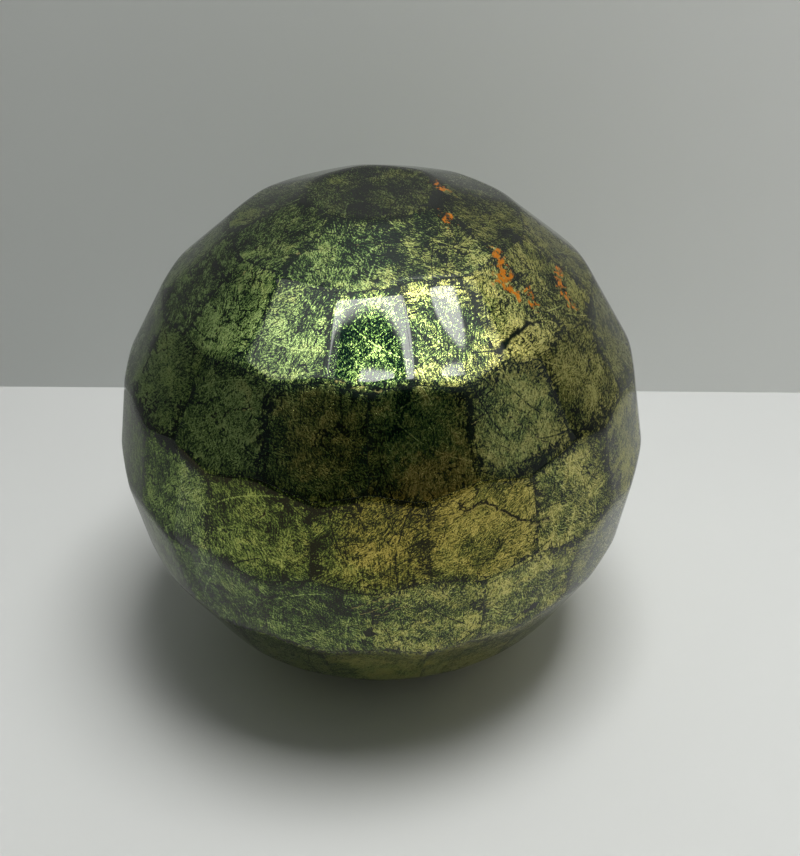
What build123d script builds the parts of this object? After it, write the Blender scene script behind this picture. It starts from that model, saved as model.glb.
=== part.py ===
from build123d import *
import math
import os

# A faceted mirror ball that stands on its lowest facet. All sizes are in millimetres.
#
# The ball is a hollow core in two halves, an adhesive bed spread over the core, flat tiles
# bedded in rows, and over each tile a square of metal leaf sealed under a clear gloss coat.
# Every outer facet is a flat face that touches one sphere. The rows are laid like courses of
# bricks, each turned half a tile from the next, with straight edges between the rows, so the
# corners of a row stand a little proud of the middles of its neighbours' edges.
#
# The frame has +Z up, the origin in the middle of the face that the ball stands on, and a
# seam of the third row facing -Y. Longitude is counted from -Y towards +X.

# Driving dimensions
ball_diameter = 100.0  # across two opposite facets of a row
cap_inset = 1.0  # the two polar caps lie this much nearer the centre than the row facets
end_row_count = 8  # tiles in the row beside each cap
row_count = 8  # rows of tiles from cap to cap, half of them above the equator
row_step = 19.5  # degrees of latitude from one row to the next
leaf_skin_thickness = 0.6  # one square of leaf with the clear coat over it
leaf_edge_radius = 0.45  # the coat rounds off at the rim of each square
leaf_corner_radius = 0.7
leaf_seam = 0.35  # clear width between two neighbouring squares of leaf
tile_thickness = 3.0
tile_seam = 0.5  # clear width between two neighbouring tiles
bed_thickness = 0.5  # adhesive between the tiles and the core
core_wall = 3.0  # least wall of the hollow core
lap_height = 6.0  # how far the lower half of the core stands up inside the upper half
lap_clearance = 0.1  # between the two halves along the lap

# What follows from them
full_row_count = 2 * end_row_count  # two tiles of a full row meet each tile of an end row
full_step = 360.0 / full_row_count
ball_radius = ball_diameter / 2
cap_distance = ball_radius - cap_inset
tile_depth = leaf_skin_thickness  # depths are measured inwards from the outer facets
bed_depth = tile_depth + tile_thickness
core_depth = bed_depth + bed_thickness
hollow_radius = cap_distance - core_depth - core_wall
lap_radius = hollow_radius + core_wall / 2
edge_radius = min(leaf_edge_radius, 0.8 * leaf_skin_thickness)
beyond = 2 * ball_diameter  # reaches clear of the ball in every direction
same_place = 1e-6  # lengths under this count as nothing


def row_latitude(row):
    """The latitude that the facets of a row face, from the top row down."""
    return row_step * ((row_count - 1) / 2 - row)


def row_tiles(row):
    """How many tiles the row holds."""
    return end_row_count if row in (0, row_count - 1) else full_row_count


def row_longitude(row):
    """Where the first tile of the row faces. Each row is turned half a tile from the next."""
    if row == 0:
        return row_longitude(1) - full_step / 2
    if row == row_count - 1:
        return row_longitude(row - 1) - full_step / 2
    return full_step / 2 if row % 2 == 0 else 0.0


def facing(latitude, longitude):
    """The unit vector that points out of the ball at a latitude and a longitude."""
    up = math.radians(latitude)
    turn = math.radians(longitude)
    return Vector(math.cos(up) * math.sin(turn), -math.cos(up) * math.cos(turn), math.sin(up))


def row_facets(row):
    """The row's facets, each as the way it faces and its distance from the centre."""
    step = 360.0 / row_tiles(row)
    turns = [row_longitude(row) + step * place for place in range(row_tiles(row))]
    return [(facing(row_latitude(row), turn), ball_radius) for turn in turns]


top_cap = (Vector(0, 0, 1), cap_distance)
bottom_cap = (Vector(0, 0, -1), cap_distance)
rows = [row_facets(row) for row in range(row_count)]
all_facets = [top_cap] + [facet for row in rows for facet in row] + [bottom_cap]


def plane_axes(normal):
    """Two unit vectors that span the plane square to a facing."""
    start = Vector(0, 0, 1) if abs(normal.Z) < 0.9 else Vector(0, -1, 0)
    across = start.cross(normal).normalized()
    return across, normal.cross(across)


def clipped(corners, across, up, limit):
    """The part of a flat polygon where across * x + up * y is at least limit."""
    kept = []
    heights = [across * x + up * y - limit for x, y in corners]
    for here, (x, y) in enumerate(corners):
        after = (here + 1) % len(corners)
        if heights[here] >= 0:
            kept.append((x, y))
        if heights[here] * heights[after] < 0:
            share = heights[here] / (heights[here] - heights[after])
            next_x, next_y = corners[after]
            kept.append((x + share * (next_x - x), y + share * (next_y - y)))
    return kept


def facet_outline(facet, bounds, depth, seam):
    """The flat outline of a facet at a depth, inside its bounds and half a seam back from each.

    A bound is a unit vector and the least height that the facet may have along it.
    """
    normal, distance = facet
    across, up = plane_axes(normal)
    corners = [(-beyond, -beyond), (beyond, -beyond), (beyond, beyond), (-beyond, beyond)]
    for away, least in bounds:
        limit = least + seam / 2 - away.dot(normal) * (distance - depth)
        corners = clipped(corners, away.dot(across), away.dot(up), limit)
    return corners


def halfway(facet, other, setback=0.0):
    """The bound on this facet's side of the plane halfway to another, or further back."""
    away = facet[0] - other[0]
    return away.normalized(), (facet[1] - other[1]) / away.length + setback


def leaf_course(row, other_row, longitude):
    """The level at which the leaf of two rows meets, where their facets' planes cross."""
    latitude = math.radians((row_latitude(row) + row_latitude(other_row)) / 2)
    level = ball_radius * math.sin(latitude) / math.cos(math.radians(row_step / 2))
    side = 1 if row < other_row else -1
    return Vector(0, 0, side), side * level


def tile_course(row, other_row, longitude):
    """The plane through the ball's centre at which the tiles of two rows meet.

    The middle of a tile's edge reaches a higher latitude than the corners that it faces, so
    each of the two rows gives up half of the difference.
    """
    here = (facing(row_latitude(row), longitude), ball_radius)
    there = (facing(row_latitude(other_row), longitude), ball_radius)
    middle = math.radians(abs(row_latitude(row) + row_latitude(other_row)) / 2)
    corner = math.atan(math.tan(middle) * math.cos(math.radians(full_step / 2)))
    return halfway(here, there, ball_radius * (middle - corner) / 2)


def row_bounds(row, place, course):
    """What bounds one piece of a row: its neighbours in the row, and those above and below."""
    facets = rows[row]
    facet = facets[place]
    bounds = [halfway(facet, facets[place - 1]), halfway(facet, facets[(place + 1) % len(facets)])]
    for other_row in (row - 1, row + 1):
        if other_row < 0 or other_row == row_count:
            bounds.append(halfway(facet, top_cap if other_row < 0 else bottom_cap))
        elif row_tiles(other_row) == row_tiles(row):
            longitude = row_longitude(row) + 360.0 / row_tiles(row) * place
            bounds.append(course(row, other_row, longitude))
        else:
            near = sorted(rows[other_row], key=lambda other: (other[0] - facet[0]).length)
            touching = max(1, row_tiles(other_row) // row_tiles(row))
            bounds += [halfway(facet, other) for other in near[:touching]]
    return bounds


def cap_bounds(cap, row):
    """What bounds a cap: the facets of the end row around it."""
    return [halfway(cap, other) for other in rows[row]]


def placed(facet, corners, depth):
    """The corners of a facet's outline as points about the ball's centre."""
    normal, distance = facet
    across, up = plane_axes(normal)
    points = [normal * (distance - depth) + across * x + up * y for x, y in corners]
    return [
        point
        for place, point in enumerate(points)
        if (point - points[place - 1]).length > same_place
    ]


def slab(front, back):
    """A flat-faced piece from the corners of its front and of its back."""
    faces = [Face(Wire.make_polygon(front)), Face(Wire.make_polygon(back))]
    for here in range(len(front)):
        after = (here + 1) % len(front)
        faces.append(Face(Wire.make_polygon([front[here], front[after], back[after], back[here]])))
    return Solid(Shell(faces))


def tile(facet, bounds):
    """One tile, from the back of its leaf to the adhesive bed, its sides along its bounds."""
    front, back = [
        placed(facet, facet_outline(facet, bounds, depth, tile_seam), depth)
        for depth in (tile_depth, bed_depth)
    ]
    return slab(front, back)


def leaf(facet, bounds):
    """One square of leaf under its clear coat, with soft corners and a rounded rim."""
    outline = facet_outline(facet, bounds, 0, leaf_seam)
    square = slab(placed(facet, outline, 0), placed(facet, outline, tile_depth))
    normal, distance = facet
    middle = distance - leaf_skin_thickness / 2
    near_middle = leaf_skin_thickness / 4
    corners = [e for e in square.edges() if abs(e.center().dot(normal) - middle) < near_middle]
    square = square.fillet(leaf_corner_radius, corners)
    rim = [e for e in square.edges() if e.center().dot(normal) > distance - same_place]
    return square.fillet(edge_radius, rim)


def lifted(shape):
    """The shape moved from the ball's centre up to where the ball stands on the origin."""
    return Pos(0, 0, cap_distance) * shape


def ring_of(row, make_piece, course):
    """The row's pieces. Those over one end tile are made once and turned about the ball."""
    alike = row_tiles(row) // end_row_count
    first = [make_piece(rows[row][place], row_bounds(row, place, course)) for place in range(alike)]
    turns = [360.0 / end_row_count * place for place in range(end_row_count)]
    return Compound([lifted(Rot(0, 0, turn) * piece) for turn in turns for piece in first])


def faceted_ball(depth):
    """The closed solid whose flat faces lie at one depth under the outer facets."""
    faces = []
    for facet in all_facets:
        near = [other for other in all_facets if 0 < (other[0] - facet[0]).length < 1]
        corners = facet_outline(facet, [halfway(facet, other) for other in near], depth, 0)
        faces.append(Face(Wire.make_polygon(placed(facet, corners, depth))))
    return Solid(Shell(faces))


def half_space(sign):
    """A large block on one side of the equator."""
    return Pos(0, 0, sign * beyond / 2) * Box(beyond, beyond, beyond)


def lap_cylinder(radius, top):
    """A round plug from below the equator up to a height."""
    height = lap_height + top
    return Pos(0, 0, (top - lap_height) / 2) * Cylinder(radius, height)


core_outside = faceted_ball(core_depth)
core_whole = core_outside - Sphere(hollow_radius)
bed_whole = faceted_ball(bed_depth) - core_outside

upper_rebate = lap_cylinder(lap_radius, lap_height + lap_clearance)
lower_spigot = core_whole & half_space(1) & lap_cylinder(lap_radius - lap_clearance, lap_height)

pieces = {
    "core_upper_shell": lifted((core_whole & half_space(1)) - upper_rebate),
    "core_lower_shell": lifted((core_whole & half_space(-1)) + lower_spigot),
    "adhesive_bed_upper": lifted(bed_whole & half_space(1)),
    "adhesive_bed_lower": lifted(bed_whole & half_space(-1)),
    "tile_cap_top": lifted(tile(top_cap, cap_bounds(top_cap, 0))),
    "tile_cap_bottom": lifted(tile(bottom_cap, cap_bounds(bottom_cap, row_count - 1))),
    "leaf_cap_top": lifted(leaf(top_cap, cap_bounds(top_cap, 0))),
    "leaf_cap_bottom": lifted(leaf(bottom_cap, cap_bounds(bottom_cap, row_count - 1))),
}
for row in range(row_count):
    pieces[f"tile_row_{row + 1}"] = ring_of(row, tile, tile_course)
    pieces[f"leaf_row_{row + 1}"] = ring_of(row, leaf, leaf_course)

os.makedirs("parts", exist_ok=True)
for name, shape in pieces.items():
    export_step(shape, f"parts/{name}.step")
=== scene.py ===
# %% [markdown]
# # A faceted mirror ball in green-gold leaf
# The ball is a hollow core with rows of small tiles on it. Every tile carries a square of metal
# leaf, and a thick clear gloss coat is poured over the leaf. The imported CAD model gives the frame:
# its boxes say where the ball stands and how large it is, and all new pieces are fitted to it.

# %% Load the frame
import math

import bpy
import numpy as np
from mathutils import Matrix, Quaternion, Vector


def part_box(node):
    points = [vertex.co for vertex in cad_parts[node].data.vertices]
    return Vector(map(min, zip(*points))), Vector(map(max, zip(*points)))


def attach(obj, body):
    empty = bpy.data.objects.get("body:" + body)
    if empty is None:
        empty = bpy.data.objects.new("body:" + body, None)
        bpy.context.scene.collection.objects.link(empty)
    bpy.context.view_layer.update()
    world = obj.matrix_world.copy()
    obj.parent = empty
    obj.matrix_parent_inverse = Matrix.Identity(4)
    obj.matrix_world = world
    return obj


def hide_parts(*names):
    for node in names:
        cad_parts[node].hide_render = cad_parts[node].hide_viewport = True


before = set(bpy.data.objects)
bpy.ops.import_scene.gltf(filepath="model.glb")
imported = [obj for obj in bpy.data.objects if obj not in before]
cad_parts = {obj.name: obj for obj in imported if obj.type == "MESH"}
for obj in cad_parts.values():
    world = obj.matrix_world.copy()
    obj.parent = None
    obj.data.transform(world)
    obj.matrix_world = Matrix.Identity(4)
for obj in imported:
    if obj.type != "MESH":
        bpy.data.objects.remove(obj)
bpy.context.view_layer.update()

print("CAD nodes:", len(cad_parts))

# %% [markdown]
# ## Where the ball is
# The caps of leaf at the top and the bottom give the height of the ball's centre, and the reach of
# a row's solids along the way that a facet faces gives how far its facets lie from the centre.
# Reading both from the CAD keeps this file right if the ball is made at another size.

# %% Centre and reach
MM = 0.001
ROW_COUNT = 8
TOP_CAP = -1
BOTTOM_CAP = ROW_COUNT
ROW_STEP = math.radians(19.5)
SEAMS_TURN = math.radians(11.25)  # half of a full row's tile

cap_top_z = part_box("leaf_cap_top")[1].z / MM
cap_bottom_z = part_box("leaf_cap_bottom")[0].z / MM
centre = np.array([0.0, 0.0, (cap_top_z + cap_bottom_z) / 2])
cap_distance = (cap_top_z - cap_bottom_z) / 2


def corner_table(node):
    """All corners of a CAD node, in millimetres, as rows of x, y, z."""
    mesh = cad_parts[node].data
    table = np.empty(len(mesh.vertices) * 3, np.float32)
    mesh.vertices.foreach_get("co", table)
    return table.reshape(-1, 3).astype(float) / MM


def facing(latitude, longitude):
    """The unit vector out of the ball: x = cos lat * sin lon, y = -cos lat * cos lon, z = sin lat."""
    flat = np.cos(latitude)
    return np.stack([flat * np.sin(longitude), -flat * np.cos(longitude), np.sin(latitude)], -1)


def row_latitude(row):
    """The latitude that a row's facets face, from the top row down."""
    return ROW_STEP * ((ROW_COUNT - 1) / 2 - row)


tile_counts = np.array([8, 16, 16, 16, 16, 16, 16, 8])
first_turns = SEAMS_TURN * np.array([-1, 0, 1, 0, 1, 0, 1, 0])

ahead = facing(row_latitude(3), first_turns[3])
ball_radius = float(np.max((corner_table("leaf_row_4") - centre) @ ahead))
print("centre height", round(centre[2], 2), "mm, facets at", round(ball_radius, 2), "mm")

# %% [markdown]
# ## The coat's surface
# On the real ball the coat is poured over flat tiles, so it keeps their facets but bellies out a
# little from side to side and runs round over the edges. One formula can say all of that. A flat
# facet is r = d / cos(angle from its facing). Here the part of that angle that comes from turning
# round the ball counts only in part, which leaves the facet slightly crowned from side to side.
# The surface is the soft minimum of all facets: the nearest wins, and where two are nearly equal
# they melt together. Each facet is also laid by hand, so it faces a fraction of a degree off.

# %% Facets and their small errors
CROWN = 0.42  # 1 is flat from side to side, 0 is round
ROW_MELT = 0.55  # how far facets of two rows melt together, in mm of depth
SIDE_MELT = 0.24
LATITUDE_ERROR = math.radians(0.35)
LONGITUDE_ERROR = math.radians(0.6)
SINK = 0.16  # mm that a facet may lie too deep
hand = np.random.default_rng(20)
facet_latitudes = []
facet_longitudes = []
facet_distances = []
for row in range(ROW_COUNT):
    count = tile_counts[row]
    turns = first_turns[row] + 2 * math.pi / count * np.arange(count)
    facet_latitudes.append(row_latitude(row) + LATITUDE_ERROR * hand.uniform(-1, 1, count))
    facet_longitudes.append(turns + LONGITUDE_ERROR * hand.uniform(-1, 1, count))
    facet_distances.append(ball_radius - SINK * hand.uniform(0, 1, count))
print("facets:", int(tile_counts.sum()) + 2)


def soft_minimum(one, other, reach):
    """The smaller of two depths, lowered by (reach - gap)^2 / (4 reach) where their gap is small."""
    near = np.maximum(reach - np.abs(one - other), 0)
    return np.minimum(one, other) - near * near / (4 * reach)


def row_radius(row, latitude, longitude):
    """How far a row's facets reach.

    A facet that faces lat0, lon0 at a distance d reaches
    d / (cos(lat - lat0) - crown * cos lat * cos lat0 * (1 - cos(lon - lon0))),
    and a flat cap reaches d / sin lat.
    """
    if row in (TOP_CAP, BOTTOM_CAP):
        return cap_distance / np.maximum(np.abs(np.sin(latitude)), 0.2)
    count = tile_counts[row]
    step = 2 * math.pi / count
    nearest = np.round((longitude - first_turns[row]) / step).astype(int)
    reach = None
    for beside in (0, -1, 1):
        place = (nearest + beside) % count
        lat0 = facet_latitudes[row][place]
        turn = longitude - facet_longitudes[row][place]
        sideways = CROWN * np.cos(latitude) * np.cos(lat0) * (1 - np.cos(turn))
        one = facet_distances[row][place] / (np.cos(latitude - lat0) - sideways)
        reach = one if reach is None else soft_minimum(reach, one, SIDE_MELT)
    return reach


def coat_radius(row, latitude, longitude):
    """The coat's surface near a row: the soft minimum of that row and the rows on both sides."""
    reach = row_radius(row, latitude, longitude)
    for beside in (row - 1, row + 1):
        if TOP_CAP <= beside <= BOTTOM_CAP:
            other = row_radius(beside, latitude, longitude)
            reach = soft_minimum(reach, other, ROW_MELT)
    return reach


# %% [markdown]
# ## Where two rows meet
# The border between two rows is where both reach equally far. It is found along each meridian by
# halving: start between the two rows' middles, and keep the half in which the order changes. Doing
# this for a whole array of meridians at once needs no loop over points.

# %% The border between rows
HALVINGS = 30


def middle_latitude(row):
    """The latitude at which a row or a cap is centred."""
    if row == TOP_CAP:
        return math.pi / 2
    if row == BOTTOM_CAP:
        return -math.pi / 2
    return row_latitude(row)


def border_latitude(upper, longitude):
    """The latitude where row upper and the next row down reach equally far, by halving."""
    high = np.full(np.shape(longitude), float(middle_latitude(upper)))
    low = np.full(np.shape(longitude), float(middle_latitude(upper + 1)))
    for _ in range(HALVINGS):
        half = (high + low) / 2
        upper_wins = row_radius(upper, half, longitude) < row_radius(upper + 1, half, longitude)
        high = np.where(upper_wins, half, high)
        low = np.where(upper_wins, low, half)
    return (high + low) / 2


front = np.zeros(1)
print("borders ahead:", [round(math.degrees(border_latitude(r, front)[0]), 1) for r in range(-1, 8)])

# %% [markdown]
# ## A slow waviness
# Poured resin is never quite level. A sum of a few long waves through space lowers the coat by a
# few hundredths of a millimetre, which is what bends the reflections. It only ever lowers the
# surface, so the ball keeps its size.

# %% Waves in the coat
WAVE_COUNT = 14
WAVE_DEPTH = 0.020
wave_ways = hand.normal(size=(WAVE_COUNT, 3))
wave_ways /= np.linalg.norm(wave_ways, axis=1, keepdims=True)
wave_lengths = hand.uniform(9, 26, WAVE_COUNT)
wave_starts = hand.uniform(0, 2 * math.pi, WAVE_COUNT)


def waviness(points):
    """Crossing waves, shifted so that they only lower the coat: depth * (tanh(sum / 4) - 1)."""
    phases = points @ (wave_ways * (2 * math.pi / wave_lengths)[:, None]).T + wave_starts
    return WAVE_DEPTH * (np.tanh(np.sin(phases).sum(-1) / 4) - 1)


print("coat lowered ahead by", round(-float(waviness(centre + ball_radius * ahead)), 3), "mm")

# %% [markdown]
# ## One square as a grid
# A square of leaf is a grid in two parameters, each from -1 to 1. The grid is closer together near
# the rim, where the coat rounds over. To soften the square's corners, a point is pulled in so that
# the outline becomes a superellipse with a high power.

# %% The grid of a square
SQUARENESS = 90


def rim_spaced(count):
    """Numbers from -1 to 1 that crowd towards both ends: sin of equal steps."""
    return np.sin(np.linspace(-math.pi / 2, math.pi / 2, count + 1))


def soft_square(count):
    """Grids of s, t and m: |s|^p + |t|^p <= 1, and m is 1 at the rim and 0 in the middle."""
    across, up = np.meshgrid(rim_spaced(count), rim_spaced(count), indexing="xy")
    most = np.maximum(np.abs(across), np.abs(up))
    norm = (np.abs(across) ** SQUARENESS + np.abs(up) ** SQUARENESS) ** (1 / SQUARENESS)
    pull = np.where(most > 0, most / np.maximum(norm, 1e-12), 1)
    return across * pull, up * pull, most


def rim_loop(count):
    """The grid indices round the rim of a square grid, counter-clockwise seen from outside."""
    grid = np.arange((count + 1) ** 2).reshape(count + 1, count + 1)
    return np.concatenate([grid[0, :-1], grid[:-1, -1], grid[-1, :0:-1], grid[:0:-1, 0]])


def square_faces(count):
    """The faces of one closed square: the grid, a wall round the rim, and a fan over the bottom."""
    grid = np.arange((count + 1) ** 2).reshape(count + 1, count + 1)
    top = np.stack([grid[:-1, :-1], grid[:-1, 1:], grid[1:, 1:], grid[1:, :-1]], -1).reshape(-1, 4)
    rim = rim_loop(count)
    foot = np.arange(len(rim)) + grid.size
    wall = np.stack([np.roll(rim, -1), rim, foot, np.roll(foot, -1)], -1)
    hub = np.full(len(rim), grid.size + len(rim))
    bottom = np.stack([foot, hub, np.roll(foot, -1)], -1)
    return np.concatenate([top, wall]), bottom


print("faces of one leaf square:", sum(len(faces) for faces in square_faces(48)))

# %% [markdown]
# ## From grids to a piece
# All squares of a row are one mesh, as they are one node in the CAD. Each point also carries what
# the finish needs: its place on the square in millimetres, how far it is from the nearest side
# and from the nearest border between rows, and a number that is different for every square.

# %% The grids of a row


def row_grids(row, seam, count):
    """Latitude, longitude, middle, rim measure and borders, as (tiles, count + 1, count + 1)."""
    s, t, rim = soft_square(count)
    tiles = tile_counts[row]
    step = 2 * math.pi / tiles
    middle = (first_turns[row] + step * np.arange(tiles))[:, None, None]
    longitude = middle + s * step / 2
    upper = border_latitude(row - 1, longitude)
    lower = border_latitude(row, longitude)
    half_seam = seam / 2 / ball_radius
    upper = upper - half_seam
    lower = lower + half_seam
    latitude = (upper + lower) / 2 + t * (upper - lower) / 2
    longitude = middle + s * (step / 2 - half_seam / np.cos(latitude))
    return latitude, longitude, middle, rim, upper, lower


grid_latitudes = row_grids(3, 0.02, 8)[0]
print("row 4 spans", round(math.degrees(np.ptp(grid_latitudes)), 1), "degrees of latitude")

# %% [markdown]
# ## Handing a mesh to Blender
# Blender keeps a mesh as flat lists: the points, the corners of all faces one after another, and
# where each face's corners start. Filling those lists whole is far quicker than adding faces one
# by one.

# %% Make a mesh piece


def make_mesh_piece(name, points, quads, triangles, smooth, values, node):
    """A mesh object from points in mm, quads and triangles, with float values per point."""
    mesh = bpy.data.meshes.new(name)
    quads = np.asarray(quads, np.int32).reshape(-1, 4)
    triangles = np.asarray(triangles, np.int32).reshape(-1, 3)
    sizes = np.concatenate([np.full(len(quads), 4), np.full(len(triangles), 3)]).astype(np.int32)
    loops = np.concatenate([quads.ravel(), triangles.ravel()]).astype(np.int32)
    mesh.vertices.add(len(points))
    mesh.vertices.foreach_set("co", (points * MM).astype(np.float32).ravel())
    mesh.loops.add(len(loops))
    mesh.loops.foreach_set("vertex_index", loops)
    mesh.polygons.add(len(sizes))
    starts = np.concatenate([[0], np.cumsum(sizes)[:-1]]).astype(np.int32)
    mesh.polygons.foreach_set("loop_start", starts)
    mesh.polygons.foreach_set("loop_total", sizes)
    mesh.update(calc_edges=True)
    mesh.validate()
    for key, numbers in values.items():
        if key == "place":
            layer = mesh.uv_layers.new(name="place")
            layer.data.foreach_set("uv", numbers[loops].astype(np.float32).ravel())
        else:
            mesh.attributes.new(key, "FLOAT", "POINT")
            mesh.attributes[key].data.foreach_set("value", numbers.astype(np.float32))
    mesh.polygons.foreach_set("use_smooth", smooth)
    mesh.update()
    piece = bpy.data.objects.new(name, mesh)
    bpy.context.scene.collection.objects.link(piece)
    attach(piece, "root")
    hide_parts(node)
    return piece


print("CAD corners in row 4, for comparison:", len(corner_table("leaf_row_4")))

# %% [markdown]
# ## One row of squares
# The grid of latitudes and longitudes becomes points by reaching out to the coat's surface. Each
# square is closed with a wall round its rim, and with a fan of triangles over its bottom.

# %% Build one row


def ball_points(radius, latitude, longitude):
    """Points at a distance from the centre along a latitude and a longitude, in mm."""
    return centre + radius[..., None] * facing(latitude, longitude)


def rounded_rim(gap, size):
    """How far the coat has dropped at a gap from the rim: a quarter circle of that size."""
    inside = np.clip(size - gap, 0, size)
    return size - np.sqrt(np.maximum(size * size - inside * inside, 0))


def build_row(name, row, node, count, slot, depth, thickness, seam, rim_size):
    """The closed squares of one row, from a depth under the coat's surface, with a rounded rim."""
    latitude, longitude, middle, rim, upper, lower = row_grids(row, seam, count)
    radius = coat_radius(row, latitude, longitude)
    surface = ball_points(radius, latitude, longitude)
    radius = radius + waviness(surface)
    half_size = ball_radius * ROW_STEP / 2
    radius = radius - depth - rounded_rim((1 - rim) * half_size, rim_size)[None]
    tiles = tile_counts[row]
    top = ball_points(radius, latitude, longitude).reshape(tiles, -1, 3)
    loop = rim_loop(count)
    flat_lat = latitude.reshape(tiles, -1)[:, loop]
    flat_lon = longitude.reshape(tiles, -1)[:, loop]
    base = coat_radius(row, flat_lat, flat_lon) - depth - thickness
    foot = ball_points(base, flat_lat, flat_lon)
    hub = foot.mean(1, keepdims=True)
    points = np.concatenate([top, foot, hub], 1)
    side_gap = (math.pi / tiles - np.abs(longitude - middle)) * radius * np.cos(latitude)
    course_gap = np.minimum(upper - latitude, latitude - lower) * radius
    along = (longitude - middle) * radius * np.cos(latitude)
    upwards = (latitude - row_latitude(row)) * radius

    def spread(field):
        """A value per grid point, carried down to the wall's foot and the hub."""
        flat_field = np.broadcast_to(field, latitude.shape).reshape(tiles, -1)
        wall = flat_field[:, loop]
        return np.concatenate([flat_field, wall, wall.mean(1, keepdims=True)], 1).ravel()

    seeds = hand.uniform(0, 1, tiles)[:, None, None]
    values = {
        "place": np.stack([spread(along), spread(upwards)], -1),
        "side_gap": spread(side_gap),
        "course_gap": spread(course_gap),
        "square_seed": spread(seeds * np.ones_like(latitude)),
    }
    quads, triangles = square_faces(count)
    shift = (np.arange(tiles) * points.shape[1])[:, None, None]
    on_top = np.tile(np.arange(len(quads)) < count * count, tiles)
    smooth = np.concatenate([on_top, np.zeros(tiles * len(triangles), bool)])
    return make_mesh_piece(
        name, points.reshape(-1, 3), quads[None] + shift, triangles[None] + shift, smooth,
        values, node
    )


print("a round rim of 0.1 mm has dropped", rounded_rim(0.05, 0.1).round(3), "mm halfway in")

# %% [markdown]
# ## The caps
# The ball closes with one eight-sided piece at the top and one at the bottom. Each is a polar grid:
# rings round a single middle point, so the pole is closed, with the rings crowded towards the rim.

# %% Build one cap
CAP_SEEDS = {TOP_CAP: 0.37, BOTTOM_CAP: 0.81}


def build_cap(name, cap, node, rings, spokes, slot, depth, thickness, seam, rim_size):
    """A closed polar grid whose rim follows the border with the end row."""
    sign = 1 if cap == TOP_CAP else -1
    turns = np.linspace(0, 2 * math.pi, spokes, endpoint=False)
    border = border_latitude(TOP_CAP if sign > 0 else ROW_COUNT - 1, turns)
    spread_angle = math.pi / 2 - np.abs(border) - seam / 2 / ball_radius
    share = np.sin(np.linspace(0, math.pi / 2, rings + 1))[1:]
    colatitude = share[:, None] * spread_angle[None, :]
    latitude = sign * (math.pi / 2 - colatitude)
    longitude = np.broadcast_to(turns, latitude.shape)
    radius = soft_minimum(
        row_radius(cap, latitude, longitude),
        row_radius(0 if sign > 0 else ROW_COUNT - 1, latitude, longitude),
        ROW_MELT,
    )
    radius = radius + waviness(ball_points(radius, latitude, longitude))
    gap = (spread_angle[None, :] - colatitude) * ball_radius
    radius = radius - depth - rounded_rim(gap, rim_size)
    rings_points = ball_points(radius, latitude, longitude)
    pole_radius = cap_distance + waviness(centre + [0, 0, sign * cap_distance]) - depth
    pole = centre + np.array([0, 0, sign]) * pole_radius
    foot = ball_points(np.full(spokes, radius[-1].min() - thickness), latitude[-1], longitude[-1])
    hub = foot.mean(0)
    points = np.concatenate([pole[None], rings_points.reshape(-1, 3), foot, hub[None]])
    ring = 1 + np.arange(rings * spokes).reshape(rings, spokes)
    after = np.roll(ring, -1, 1)
    quads = np.stack([ring[:-1], ring[1:], after[1:], after[:-1]], -1).reshape(-1, 4)
    feet = 1 + rings * spokes + np.arange(spokes)
    wall = np.stack([ring[-1], feet, np.roll(feet, -1), after[-1]], -1)
    top = np.stack([np.zeros(spokes, int), ring[0], after[0]], -1)
    bottom = np.stack([feet, np.full(spokes, len(points) - 1), np.roll(feet, -1)], -1)
    smooth = np.concatenate([np.ones(len(quads), bool), np.zeros(spokes, bool),
                             np.ones(spokes, bool), np.zeros(spokes, bool)])
    quads = np.concatenate([quads, wall])
    triangles = np.concatenate([top, bottom])
    if sign < 0:
        quads = quads[:, ::-1]
        triangles = triangles[:, ::-1]
    out = points - centre
    gaps = np.concatenate([[spread_angle.mean() * ball_radius], gap.ravel(), np.zeros(spokes + 1)])
    values = {
        "place": out[:, :2],
        "side_gap": np.full(len(points), ball_radius),
        "course_gap": gaps,
        "square_seed": np.full(len(points), CAP_SEEDS[cap]),
    }
    return make_mesh_piece(name, points, quads, triangles, smooth, values, node)


cap_rim = math.degrees(border_latitude(TOP_CAP, front)[0])
print("the top cap's rim is", round(90 - cap_rim, 1), "degrees from the pole")

# %% [markdown]
# ## Leaf squares and the tiles under them
# The leaf with its coat is what one sees. The tiles below show only as thin dark lines between the
# squares, so their grid can be coarse.

# %% Make the squares and the tiles
LEAF_LAYER = {"slot": "leaf_and_coat", "depth": 0, "thickness": 0.6, "seam": 0.02, "rim_size": 0.0}
TILE_LAYER = {"slot": "tile_body", "depth": 0.6, "thickness": 3.0, "seam": 0.4, "rim_size": 0.1}
leaf_pieces = []
tile_pieces = []
for row in range(ROW_COUNT):
    mark = row + 1
    leaf = build_row(f"leaf_squares_{mark}", row, f"leaf_row_{mark}", count=48, **LEAF_LAYER)
    tile = build_row(f"tile_bodies_{mark}", row, f"tile_row_{mark}", count=12, **TILE_LAYER)
    leaf_pieces.append(leaf)
    tile_pieces.append(tile)
for cap, side in ((TOP_CAP, "top"), (BOTTOM_CAP, "bottom")):
    leaf = build_cap(f"leaf_octagon_{side}", cap, f"leaf_cap_{side}", rings=40, spokes=160, **LEAF_LAYER)
    tile = build_cap(f"tile_octagon_{side}", cap, f"tile_cap_{side}", rings=8, spokes=64, **TILE_LAYER)
    leaf_pieces.append(leaf)
    tile_pieces.append(tile)
print("pieces:", len(leaf_pieces) + len(tile_pieces))
meshes = [piece.data for piece in leaf_pieces + tile_pieces]
print("triangles:", sum(len(mesh.loops) - 2 * len(mesh.polygons) for mesh in meshes))

# %% [markdown]
# ## A short way to write node trees
# Materials here are long chains of small nodes. One helper adds a node, sets what is constant and
# links what is not, so that a line of code reads like the formula it stands for.

# %% Node helpers


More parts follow.
